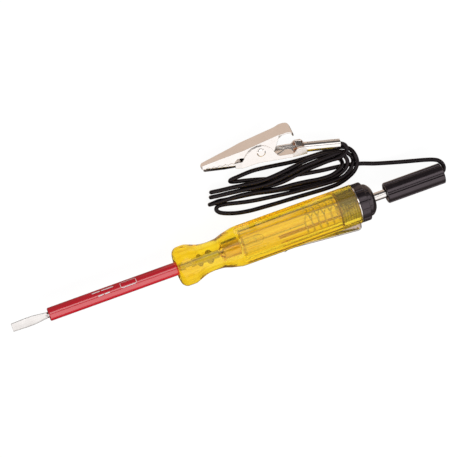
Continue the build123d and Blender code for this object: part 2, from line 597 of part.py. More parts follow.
# ---------------------------------------------------------------- lead
# One length of wire from the clip's barrel, folded to and fro as a hank on
# the table, then up into the plug. Points on its centre line: x, y, z.
CABLE_POINTS = [
    (70.06, 22.77, -3.85), (70.74, 22.59, -3.89), (71.41, 22.41, -3.93), (72.70, 21.96, -4.00),
    (73.59, 21.01, -4.01), (73.69, 19.75, -3.81), (72.93, 18.71, -3.46), (71.73, 18.02, -3.24),
    (70.40, 17.59, -3.50), (69.09, 17.48, -4.14), (67.77, 17.53, -4.73), (64.99, 17.51, -5.32),
    (62.18, 17.36, -5.40), (57.28, 17.12, -5.25), (52.42, 16.51, -5.06), (47.57, 15.96, -5.07),
    (42.81, 16.02, -5.99), (38.13, 16.76, -6.97), (33.34, 17.68, -7.12), (28.49, 18.29, -7.10),
    (24.36, 18.77, -7.12), (23.01, 18.94, -7.12), (21.73, 19.13, -6.90), (21.02, 19.34, -5.97),
    (21.53, 19.39, -4.92), (22.77, 19.25, -4.60), (24.11, 19.07, -4.76), (25.47, 18.90, -4.99),
    (28.23, 18.61, -5.20), (33.09, 18.03, -5.23), (37.91, 17.36, -4.88), (42.72, 17.18, -4.08),
    (47.57, 17.62, -3.71), (52.42, 18.27, -3.84), (57.28, 18.82, -4.03), (62.17, 19.03, -4.12),
    (67.09, 19.10, -4.09), (69.86, 19.07, -4.45), (72.10, 17.63, -5.03), (72.81, 15.11, -5.28),
    (71.39, 12.86, -5.62), (68.95, 11.65, -6.15), (66.24, 11.14, -6.55), (61.39, 11.05, -7.05),
    (56.53, 11.51, -7.11), (51.68, 12.20, -7.12), (46.85, 13.03, -7.11), (42.05, 13.98, -7.10),
    (37.27, 15.04, -7.10), (32.43, 15.76, -7.10), (27.58, 16.35, -7.11), (23.43, 16.98, -7.12),
    (22.06, 16.93, -7.12), (20.74, 16.86, -6.97), (19.88, 16.96, -6.13), (20.19, 17.07, -5.02),
    (21.38, 17.02, -4.58), (22.73, 16.91, -4.69), (24.10, 16.82, -4.90), (26.87, 16.70, -5.14),
    (31.75, 16.41, -5.23), (36.59, 15.70, -5.23), (41.41, 14.79, -5.19), (46.25, 14.07, -5.21),
    (51.14, 13.70, -5.24), (55.99, 13.11, -5.33), (60.82, 12.34, -5.40), (65.61, 12.22, -5.33),
    (68.21, 12.93, -5.29), (69.44, 13.51, -5.30), (70.46, 14.33, -5.49), (70.94, 15.40, -6.09),
    (70.68, 16.52, -6.72), (69.81, 17.48, -7.05), (68.61, 18.12, -7.12), (67.28, 18.45, -7.12),
    (64.50, 18.63, -7.10), (59.61, 18.53, -7.09), (54.74, 18.31, -6.76), (49.93, 18.29, -5.90),
    (45.07, 18.24, -5.38), (40.21, 18.48, -5.65), (35.44, 19.04, -6.57), (30.64, 19.77, -7.07),
    (25.80, 20.34, -7.12), (24.44, 20.50, -7.12), (23.11, 20.69, -7.09), (21.98, 20.91, -6.58),
    (21.78, 21.08, -5.44), (22.73, 21.04, -4.69), (24.04, 20.87, -4.65), (25.39, 20.68, -4.88),
    (26.75, 20.50, -5.07), (29.52, 20.19, -5.20), (34.35, 19.56, -4.92), (39.15, 19.04, -4.13),
    (44.01, 19.15, -3.71), (48.87, 19.52, -4.05), (53.66, 19.93, -4.91), (58.50, 20.39, -5.32),
    (63.40, 20.41, -5.39), (68.24, 19.84, -5.76), (70.95, 19.39, -6.24), (73.43, 18.31, -6.32),
    (74.35, 17.35, -6.46), (74.99, 16.21, -6.48), (75.09, 14.99, -6.15), (74.59, 13.91, -5.63),
    (73.78, 12.90, -5.31), (72.84, 11.94, -5.18), (70.52, 10.52, -5.23), (67.80, 9.98, -5.32),
    (65.00, 9.92, -5.37), (60.10, 10.19, -5.44), (55.23, 10.61, -5.68), (50.39, 10.98, -6.23),
    (45.57, 11.48, -6.97), (40.72, 12.11, -7.11), (35.86, 12.79, -7.10), (31.07, 13.73, -7.10),
    (26.35, 14.87, -7.09), (25.00, 15.12, -7.08), (23.67, 15.30, -7.07), (22.37, 15.21, -7.08),
    (21.64, 14.34, -7.10), (22.15, 13.22, -7.11), (23.25, 12.44, -7.10), (24.51, 11.87, -7.10),
    (25.81, 11.38, -7.10), (28.48, 10.58, -7.10), (33.30, 9.76, -7.10), (38.18, 9.38, -7.10),
    (43.07, 9.06, -7.10), (47.96, 8.81, -7.10), (52.86, 8.55, -7.10), (57.75, 8.25, -7.10),
    (62.64, 8.00, -7.11), (67.52, 8.15, -7.03), (72.11, 9.60, -6.28), (74.39, 11.11, -5.45),
    (75.96, 13.45, -4.75), (76.20, 16.30, -5.23), (75.35, 18.78, -6.26), (73.17, 20.31, -6.98),
    (70.45, 20.90, -7.12), (67.64, 20.86, -7.11), (62.74, 20.97, -7.10), (57.84, 21.14, -7.10),
    (52.96, 21.51, -7.10), (48.10, 22.17, -7.10), (43.25, 22.84, -7.11), (38.38, 23.26, -6.97),
    (33.64, 23.20, -5.93), (32.36, 23.18, -5.40), (31.07, 23.15, -5.02), (29.88, 22.94, -5.28),
    (29.65, 22.41, -6.27), (30.57, 21.89, -6.96), (31.86, 21.51, -7.12), (33.21, 21.19, -7.12),
    (34.56, 20.89, -7.12), (39.30, 19.67, -7.12), (44.00, 18.32, -7.10), (48.77, 17.20, -7.10),
    (53.60, 16.35, -7.10), (58.42, 15.52, -7.10), (63.27, 14.78, -7.10), (68.13, 14.23, -7.11),
    (72.98, 13.54, -7.12), (77.70, 12.32, -7.11), (82.32, 10.71, -6.96), (86.97, 9.41, -6.21),
    (91.53, 8.26, -4.87), (95.97, 7.25, -3.22), (99.80, 6.35, -1.90), (102.35, 5.58, -1.10),
    (103.95, 4.72, -0.55), (104.92, 3.33, -0.20), (105.08, 1.92, -0.05), (104.55, 0.75, 0.00),
    (103.45, 0.12, 0.00), (102.50, 0.00, 0.00), (101.80, 0.00, 0.00),
]
in_barrel = [clip_pt(19.2, -3.52), clip_pt(22.2, -3.82), clip_pt(25.2, -4.12)]
wire_points = [*in_barrel, *[Vector(*point) for point in CABLE_POINTS], Vector(99.0, 0, 0)]


def wire_tangents(points):
    """Directions at the points, the nearer neighbour weighing more."""
    result = [barrel_dir]
    for previous, point, following in zip(points, points[1:], points[2:]):
        before, after = point - previous, following - point
        result.append((before * (after.length / before.length)
                       + after * (before.length / after.length)).normalized())
    return result + [Vector(-1, 0, 0)]


def arc_to(start, end, direction):
    """Arc that leaves start in the given direction, or a line if it is straight."""
    if direction.cross((end - start).normalized()).length < 2e-4:
        return Edge.make_line(start, end)
    return Edge.make_tangent_arc(start, direction, end)


def arc_pair(start, end, start_dir, end_dir):
    """Two arcs from start to end that share a tangent where they meet."""
    chord, dir_sum = end - start, start_dir + end_dir
    # quadratic for the equal tangent lengths at both ends
    square = 2 * (1 - start_dir.dot(end_dir))
    linear = 2 * chord.dot(dir_sum)
    constant = -chord.dot(chord)
    if square < 1e-7:
        reach = -constant / linear
    else:
        reach = (-linear + math.sqrt(linear * linear - 4 * square * constant)) / (2 * square)
    middle = (start + start_dir * reach + end - end_dir * reach) * 0.5
    first = arc_to(start, middle, start_dir)
    return [first, arc_to(middle, end, first % 1)]


wire_edges = []
directions = wire_tangents(wire_points)
for stretch in zip(wire_points, wire_points[1:], directions, directions[1:]):
    wire_edges += arc_pair(*stretch)

with BuildPart() as cable:
    with BuildSketch(Plane(origin=wire_points[0], z_dir=barrel_dir)):
        Circle(CABLE_R)
    sweep(path=Wire(wire_edges), transition=Transition.TRANSFORMED)
write_part(cable.part, "cable")

# stripped wire under the tabs, stopping just short of the cable
bare_start = clip_pt(12.8, -3.45)
bare_run = in_barrel[0] - barrel_dir * 0.02 - bare_start
with BuildPart() as conductor_clip_end:
    with BuildSketch(Plane(origin=bare_start, z_dir=bare_run.normalized())):
        Circle(CONDUCTOR_R)
    extrude(amount=bare_run.length)
write_part(conductor_clip_end.part, "conductor_clip_end")
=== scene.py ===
"""A hand probe with a clear amber handle, a lamp, a blade and a wire lead that ends in a clip.

The tool's axis is the X axis: the printed sleeve is at negative X, the end cap and plug at
positive X. The lead lies looped on the table on the +Y side. The camera looks down from +Z.
Shapes are worked out in mm and turned to metres with MM; shader lengths are in metres.
"""

import json
import math

import bpy
import numpy as np
from mathutils import Matrix, Vector


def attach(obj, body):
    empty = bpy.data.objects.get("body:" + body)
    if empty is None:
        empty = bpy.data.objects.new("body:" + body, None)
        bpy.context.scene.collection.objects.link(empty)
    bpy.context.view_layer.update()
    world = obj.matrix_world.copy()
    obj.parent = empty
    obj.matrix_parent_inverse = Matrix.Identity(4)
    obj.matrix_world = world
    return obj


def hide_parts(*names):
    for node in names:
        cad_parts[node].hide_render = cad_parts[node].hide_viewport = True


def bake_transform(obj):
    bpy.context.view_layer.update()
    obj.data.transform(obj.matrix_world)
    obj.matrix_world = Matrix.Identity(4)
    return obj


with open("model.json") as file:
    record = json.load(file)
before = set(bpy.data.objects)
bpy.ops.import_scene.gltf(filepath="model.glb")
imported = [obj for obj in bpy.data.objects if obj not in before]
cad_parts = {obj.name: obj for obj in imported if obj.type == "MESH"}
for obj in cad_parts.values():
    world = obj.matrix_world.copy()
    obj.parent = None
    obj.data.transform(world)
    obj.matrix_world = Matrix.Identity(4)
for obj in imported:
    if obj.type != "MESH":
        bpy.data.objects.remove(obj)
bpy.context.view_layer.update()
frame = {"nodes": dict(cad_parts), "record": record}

MM = 0.001
FLOOR = -7.94 * MM
CAMERA_TILT = 8.4  # degrees the camera leans from +Z towards +Y
CAMERA_SIDE = 90 - CAMERA_TILT  # camera's direction round the X axis, degrees from +Y to +Z


# ------------------------------------------------------------------ node helpers
class Graph:
    """A node tree, emptied, with short calls for the nodes used here.

    Wherever a value is asked for, an output socket may be given instead and is linked.
    """

    def __init__(self, tree):
        self.tree = tree
        tree.nodes.clear()

    def feed(self, socket, value):
        if isinstance(value, bpy.types.NodeSocket):
            self.tree.links.new(value, socket)
        else:
            socket.default_value = value

    def node(self, kind, inputs=None, **settings):
        """New shader node; inputs maps an input's name or index to its value."""
        node = self.tree.nodes.new("ShaderNode" + kind)
        for key, value in settings.items():
            setattr(node, key, value)
        for key, value in (inputs or {}).items():
            self.feed(node.inputs[key], value)
        return node

    def math(self, operation, first, second):
        return self.node("Math", {0: first, 1: second}, operation=operation).outputs[0]

    def ramp(self, factor, stops):
        """Colour ramp; stops are (position, rgb) in rising order."""
        node = self.node("ValToRGB", {0: factor})
        elements = node.color_ramp.elements
        for i, (position, rgb) in enumerate(stops):
            if i < 2:
                element = elements[i]
                element.position = position
            else:
                element = elements.new(position)
            element.color = (*rgb, 1)
        return node.outputs[0]

    def map_range(self, value, to_min, to_max, from_min=0.3, from_max=0.7):
        return self.node("MapRange", {
            "Value": value, "From Min": from_min, "From Max": from_max,
            "To Min": to_min, "To Max": to_max,
        }).outputs[0]

    def mix_color(self, factor, first, second, blend="MIX"):
        node = self.node("Mix", data_type="RGBA", blend_type=blend)
        for key, value in (("Factor", factor), ("A", first), ("B", second)):
            self.feed(node.inputs[key], value)
        return node.outputs["Result"]

    def mix_shader(self, factor, first, second):
        return self.node("MixShader", {0: factor, 1: first, 2: second}).outputs[0]

    def mirror_ray(self, rays):
        """1 for a glossy ray that isn't also a transmission ray."""
        not_through = self.math("SUBTRACT", 1.0, rays["Is Transmission Ray"])
        return self.math("MULTIPLY", rays["Is Glossy Ray"], not_through)


class Material(Graph):
    """A material with one Principled shader, textured in object coordinates."""

    def __init__(self, name):
        self.material = bpy.data.materials.new(name)
        self.material.use_nodes = True
        super().__init__(self.material.node_tree)
        self.output = self.node("OutputMaterial")
        self.coord = self.node("TexCoord").outputs["Object"]
        self.shader = self.node("BsdfPrincipled")
        self.surface(self.shader.outputs[0])

    def surface(self, shader):
        self.feed(self.output.inputs["Surface"], shader)

    def set(self, **inputs):
        """Principled inputs by name, with underscores for spaces."""
        for key, value in inputs.items():
            self.feed(self.shader.inputs[key.replace("_", " ")], value)

    def noise(self, scale, detail=4, rough=0.55, stretch=(1, 1, 1), distort=0.0):
        place = self.node("Mapping", {"Scale": stretch, "Vector": self.coord})
        return self.node("TexNoise", {
            "Scale": scale, "Detail": detail, "Roughness": rough, "Distortion": distort,
            "Vector": place.outputs[0],
        }).outputs["Fac"]

    def rounded(self, radius):
        """Shading normal of slightly rounded edges."""
        return self.node("Bevel", {"Radius": radius}, samples=6).outputs[0]

    def bump(self, height, distance, strength, normal=None):
        inputs = {"Distance": distance, "Strength": strength, "Height": height}
        if normal is not None:
            inputs["Normal"] = normal
        return self.node("Bump", inputs).outputs[0]

    def pass_shadow_rays(self, tint=(1, 1, 1)):
        """Let light pass through to what lies inside and behind."""
        rays = self.node("LightPath").outputs
        clear = self.node("BsdfTransparent", {0: (*tint, 1)}).outputs[0]
        self.surface(self.mix_shader(rays["Is Shadow Ray"], self.shader.outputs[0], clear))


# ------------------------------------------------------------------ materials
def amber(name):
    k = Material(name)
    flow = k.noise(scale=420, stretch=(0.07, 1, 1), distort=0.4)
    fine = k.noise(scale=2600, detail=3, rough=0.6)
    # flow lines of the moulding, drawn out along the tool
    streak = k.noise(scale=900, detail=3, rough=0.5, stretch=(0.03, 1, 1), distort=0.2)
    streak_colors = [
        (0.30, (0.72, 0.49, 0.04)),
        (0.44, (0.90, 0.71, 0.10)),
        (0.60, (0.96, 0.82, 0.15)),
        (0.72, (1.0, 0.92, 0.27)),
    ]
    k.set(
        Transmission_Weight=0.93,
        IOR=1.47,
        Specular_IOR_Level=0.22,
        Base_Color=k.ramp(streak, streak_colors),
        Roughness=k.map_range(fine, to_min=0.01, to_max=0.05),
        Normal=k.bump(flow, distance=0.00012, strength=0.35, normal=k.rounded(0.0004)),
    )
    depth = k.node("VolumeAbsorption", {"Color": (1.0, 0.925, 0.06, 1), "Density": 230})
    k.feed(k.output.inputs["Volume"], depth.outputs[0])
    k.pass_shadow_rays(tint=(0.97, 0.93, 0.8))
    return k.material


def black_cap_painted_light(name):
    """Black moulding: plain outside, a fine thread on the stem inside the handle, with a painted
    highlight on its crests and painted shade over it.
    """
    stem_end = 0.0700  # the stem is at smaller X than this
    turns_per_metre = 1000.0
    k = Material(name)
    cloud = k.noise(scale=180, detail=3)
    fine = k.noise(scale=1800, detail=5, rough=0.6)
    axes = k.node("SeparateXYZ", {0: k.coord}).outputs

    # thread height: a triangle wave that winds round X, kept to the stem
    angle = k.math("ARCTAN2", axes["Z"], axes["Y"])
    turns = k.math("MULTIPLY", angle, 1.0 / (2 * math.pi))
    along = k.math("MULTIPLY", axes["X"], turns_per_metre)
    wave = k.math("PINGPONG", k.math("ADD", turns, along), 0.5)
    on_stem = k.math("LESS_THAN", axes["X"], stem_end)
    thread = k.math("MULTIPLY", wave, on_stem)

    plain = k.ramp(cloud, [(0.3, (0.006, 0.0045, 0.006)), (0.7, (0.012, 0.009, 0.011))])
    # painted highlight: the thread's crests on the stem are coloured light grey, far lighter than
    # the black moulding
    stem_painted_light = k.ramp(thread, [(0.05, (0.15, 0.14, 0.14)), (0.45, (0.36, 0.35, 0.35))])
    # painted shade: dark swirls over the stem, heavier on its +Y half
    swirl = k.noise(scale=230, detail=3, rough=0.6, stretch=(0.8, 1, 1), distort=2.2)
    shade_towards_plus_y = k.map_range(axes["Y"], to_min=-0.04, to_max=0.24, from_min=0.0005, from_max=0.0035)
    painted_shade_swirl = k.math("SUBTRACT", swirl, shade_towards_plus_y)
    shade = k.ramp(painted_shade_swirl, [(0.42, (0.10, 0.05, 0.04)), (0.56, (1.0, 1.0, 1.0))])
    # the painted shade darkens the painted crest highlights
    stem_painted_light = k.mix_color(1.0, stem_painted_light, shade, blend="MULTIPLY")

    relief = k.bump(thread, distance=0.0002, strength=0.8, normal=k.rounded(0.0003))
    k.set(
        Base_Color=k.mix_color(on_stem, plain, stem_painted_light),
        Roughness=k.map_range(fine, to_min=0.14, to_max=0.24),
        IOR=1.5,
        Specular_IOR_Level=0.85,
        Specular_Tint=(1.0, 0.84, 0.92, 1),
        Normal=k.bump(fine, distance=0.00002, strength=0.3, normal=relief),
    )
    return k.material


def clear_glass(name):
    k = Material(name)
    cloud = k.noise(scale=400, detail=2)
    k.set(
        Transmission_Weight=1.0,
        IOR=1.45,
        Base_Color=k.ramp(cloud, [(0.3, (0.97, 0.98, 0.98)), (0.7, (1, 1, 1))]),
        Roughness=k.map_range(cloud, to_min=0.0, to_max=0.02),
    )
    k.pass_shadow_rays()
    return k.material


def metal(name, dark, light, rough, grain=(1, 1, 1), scale=900, spots=None, edge=0.0):
    """Metal clouded from dark to light; grain stretches its fine streaks.

    rough is the roughness range, spots a colour of small stains, edge the rounding radius.
    """
    k = Material(name)
    cloud = k.noise(scale=140, rough=0.6)
    streak = k.noise(scale=scale, detail=5, rough=0.65, stretch=grain)
    color = k.ramp(cloud, [(0.3, dark), (0.7, light)])
    if spots:
        stain = k.noise(scale=700, detail=6, rough=0.7)
        amount = k.map_range(stain, to_min=0, to_max=1, from_min=0.60, from_max=0.72)
        color = k.mix_color(amount, color, (*spots, 1))
    normal = k.rounded(edge) if edge else None
    k.set(
        Metallic=1.0,
        Base_Color=color,
        Roughness=k.map_range(streak, *rough),
        Normal=k.bump(streak, distance=0.00002, strength=0.35, normal=normal),
    )
    return k.material


def plastic(name, dark, light, rough=(0.2, 0.34), scale=1500, stretch=(1, 1, 1), bump=0.00002,
            coat=0.0, coat_ior=1.5, specular=0.5, tint=(1, 1, 1), edge=0.0):
    """Plastic clouded from dark to light, with fine noise in its roughness and relief."""
    k = Material(name)
    cloud = k.noise(scale=180, detail=3, stretch=stretch)
    fine = k.noise(scale=scale, detail=5, rough=0.6, stretch=stretch)
    normal = k.rounded(edge) if edge else None
    k.set(
        Base_Color=k.ramp(cloud, [(0.3, dark), (0.7, light)]),
        Roughness=k.map_range(fine, *rough),
        Coat_Weight=coat,
        Coat_Roughness=0.03,
        Coat_IOR=coat_ior,
        IOR=1.5,
        Specular_IOR_Level=specular,
        Specular_Tint=(*tint, 1),
        Normal=k.bump(fine, distance=bump, strength=0.3, normal=normal),
    )
    return k.material


LOOKS = {
    "amber_plastic": (amber, {}),
    "red_plastic": (plastic, dict(
        dark=(0.60, 0.006, 0.020), light=(0.68, 0.010, 0.028), rough=(0.05, 0.10), scale=1200,
        bump=0.00001, coat=1.0, stretch=(0.15, 1, 1), coat_ior=1.9)),
    "plated_steel": (metal, dict(
        dark=(0.84, 0.81, 0.78), light=(0.90, 0.88, 0.86), rough=(0.08, 0.18),
        grain=(0.04, 1, 1), scale=1500, edge=0.0003)),
    "spring_steel": (metal, dict(
        dark=(0.62, 0.60, 0.57), light=(0.74, 0.72, 0.69), rough=(0.18, 0.34), scale=2200)),
    "brass": (metal, dict(
        dark=(0.78, 0.62, 0.34), light=(0.88, 0.74, 0.46), rough=(0.12, 0.24), scale=1600,
        spots=(0.55, 0.38, 0.18), edge=0.0002)),
    "lamp_glass": (clear_glass, {}),
    "lamp_black_glass": (plastic, dict(
        dark=(0.01, 0.01, 0.012), light=(0.03, 0.03, 0.035), rough=(0.08, 0.16))),
    "lamp_wire": (metal, dict(
        dark=(0.3, 0.29, 0.28), light=(0.42, 0.4, 0.38), rough=(0.3, 0.5), scale=4000)),
    "solder": (metal, dict(
        dark=(0.55, 0.55, 0.56), light=(0.7, 0.7, 0.7), rough=(0.3, 0.5), scale=1800)),
    "black_plastic": (plastic, dict(
        dark=(0.005, 0.004, 0.005), light=(0.011, 0.008, 0.010), rough=(0.13, 0.22), scale=1800,
        edge=0.0003, specular=0.85, tint=(1.0, 0.84, 0.92))),
    "black_wire": (plastic, dict(
        dark=(0.003, 0.0022, 0.0026), light=(0.007, 0.005, 0.006), rough=(0.14, 0.24),
        scale=2200, specular=0.26, tint=(1.0, 0.84, 0.90))),
    "copper": (metal, dict(
        dark=(0.62, 0.30, 0.17), light=(0.78, 0.42, 0.25), rough=(0.25, 0.42), scale=2600)),
    "clip_nickel": (metal, dict(
        dark=(0.90, 0.86, 0.83), light=(0.95, 0.92, 0.90), rough=(0.08, 0.17),
        grain=(0.5, 1, 1), scale=700, spots=(0.80, 0.73, 0.68), edge=0.00018)),
    "white_print": (plastic, dict(
        dark=(0.78, 0.77, 0.76), light=(0.86, 0.85, 0.84), rough=(0.35, 0.5), scale=2400)),
    # the end cap's look, with a painted highlight and painted shade on its stem
    "black_cap_painted_light": (black_cap_painted_light, {}),
    # fine streaks along the blade's length
    "bright_blade": (metal, dict(
        dark=(0.57, 0.545, 0.53), light=(0.68, 0.66, 0.645), rough=(0.05, 0.11),
        grain=(0.04, 1, 1), scale=1500, edge=0.0005)),
}
# pieces with a look of their own; the rest take the look of their slot
OWN_LOOK = {"end_cap": "black_cap_painted_light", "blade": "bright_blade"}

materials = {name: make(name, **look) for name, (make, look) in LOOKS.items()}
slot_of = {part["node"]: part["material_slot"] for part in frame["record"]["subparts"]}
for name, piece in frame["nodes"].items():
    piece.data.materials.clear()
    piece.data.materials.append(materials[OWN_LOOK.get(name) or slot_of[name]])


# ------------------------------------------------------------------ mesh helpers
def link_object(name, data):
    ob = bpy.data.objects.new(name, data)
    bpy.context.scene.collection.objects.link(ob)
    return ob


def mesh_object(name, verts, faces, material):
    """Smooth-shaded object from vertices in metres."""
    mesh = bpy.data.meshes.new(name)
    mesh.from_pydata([tuple(v) for v in verts], [], faces)
    mesh.update()
    for polygon in mesh.polygons:
        polygon.use_smooth = True
    mesh.materials.append(material)
    return link_object(name, mesh)


def unit(vector):
    return vector / np.linalg.norm(vector)


def between(now, t_start, t_end, start, end):
    return ((t_end - now) * start + (now - t_start) * end) / (t_end - t_start)


def resample(points, step):
    """Centripetal Catmull-Rom curve through the points, then evenly spaced."""
    knots = np.array(points, float)
    knots = np.vstack([2 * knots[0] - knots[1], knots, 2 * knots[-1] - knots[-2]])
    curve = []
    for i in range(1, len(knots) - 2):
        p = knots[i - 1:i + 3]
        t = [0.0]
        for j in range(3):
            t.append(t[-1] + np.linalg.norm(p[j + 1] - p[j]) ** 0.5)
        count = max(2, int(np.linalg.norm(p[2] - p[1]) / (step * 0.5)))
        for now in np.linspace(t[1], t[2], count, endpoint=False):
            a = [between(now, t[j], t[j + 1], p[j], p[j + 1]) for j in range(3)]
            b = [between(now, t[j], t[j + 2], a[j], a[j + 1]) for j in range(2)]
            curve.append(between(now, t[1], t[2], b[0], b[1]))
    curve.append(knots[-2])
    curve = np.array(curve)
    run = np.r_[0, np.cumsum(np.linalg.norm(np.diff(curve, axis=0), axis=1))]
    stations = np.linspace(0, run[-1], max(3, int(round(run[-1] / step)) + 1))
    return np.stack([np.interp(stations, run, curve[:, i]) for i in range(3)], 1)


def cross_axes(path):
    """Two axes square to the path at each point, carried along it without twist."""
    tangents = np.gradient(path, axis=0)
    tangents /= np.linalg.norm(tangents, axis=1)[:, None]
    normals = [unit(np.cross(tangents[0], [0, 0, 1.0]))]
    for tangent in tangents[1:]:
        normals.append(unit(normals[-1] - tangent * np.dot(normals[-1], tangent)))
    normals = np.array(normals)
    return normals, np.cross(tangents, normals)


def tube(name, path, radius, material, sides):
    """Closed tube along path (mm). radius is a number or a function (i, angle) -> mm."""
    normals, binormals = cross_axes(path)
    verts, faces = [], []
    for i, centre in enumerate(path):
        for j in range(sides):
            angle = 2 * math.pi * j / sides
            r = radius(i, angle) if callable(radius) else radius
            outward = normals[i] * math.cos(angle) + binormals[i] * math.sin(angle)
            verts.append((centre + outward * r) * MM)
    for i in range(len(path) - 1):
        ring, after = i * sides, (i + 1) * sides
        for j in range(sides):
            k = (j + 1) % sides
            faces.append((ring + j, ring + k, after + k, after + j))
    faces.append(tuple(reversed(range(sides))))
    faces.append(tuple((len(path) - 1) * sides + j for j in range(sides)))
    return mesh_object(name, verts, faces, material)


def put_on_lead(ob, node):
    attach(ob, "lead")
    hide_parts(node)


# ------------------------------------------------------------------ lead
# the clip's own axes and origin, origin in mm
CLIP_ALONG = np.array([0.98700, -0.16074, 0.0])
CLIP_NORMAL = np.array([-0.07546, -0.46337, 0.88295])
CLIP_ACROSS = np.cross(CLIP_NORMAL, CLIP_ALONG)
CLIP_ORIGIN = np.array([42.855, 31.139, -1.787])

WIRE_RADIUS = 0.775
WIRE_STEP = 0.3

STRAND_COUNT = 7  # one straight in the middle, the others wound round it
STRAND_RADIUS = 0.45 / 3.02  # bundle radius over a little more than three strand radii
STRAND_TWIST = 1.125  # radians per mm


def clip_point(along, across):
    return CLIP_ORIGIN + CLIP_ALONG * along + CLIP_ACROSS * across


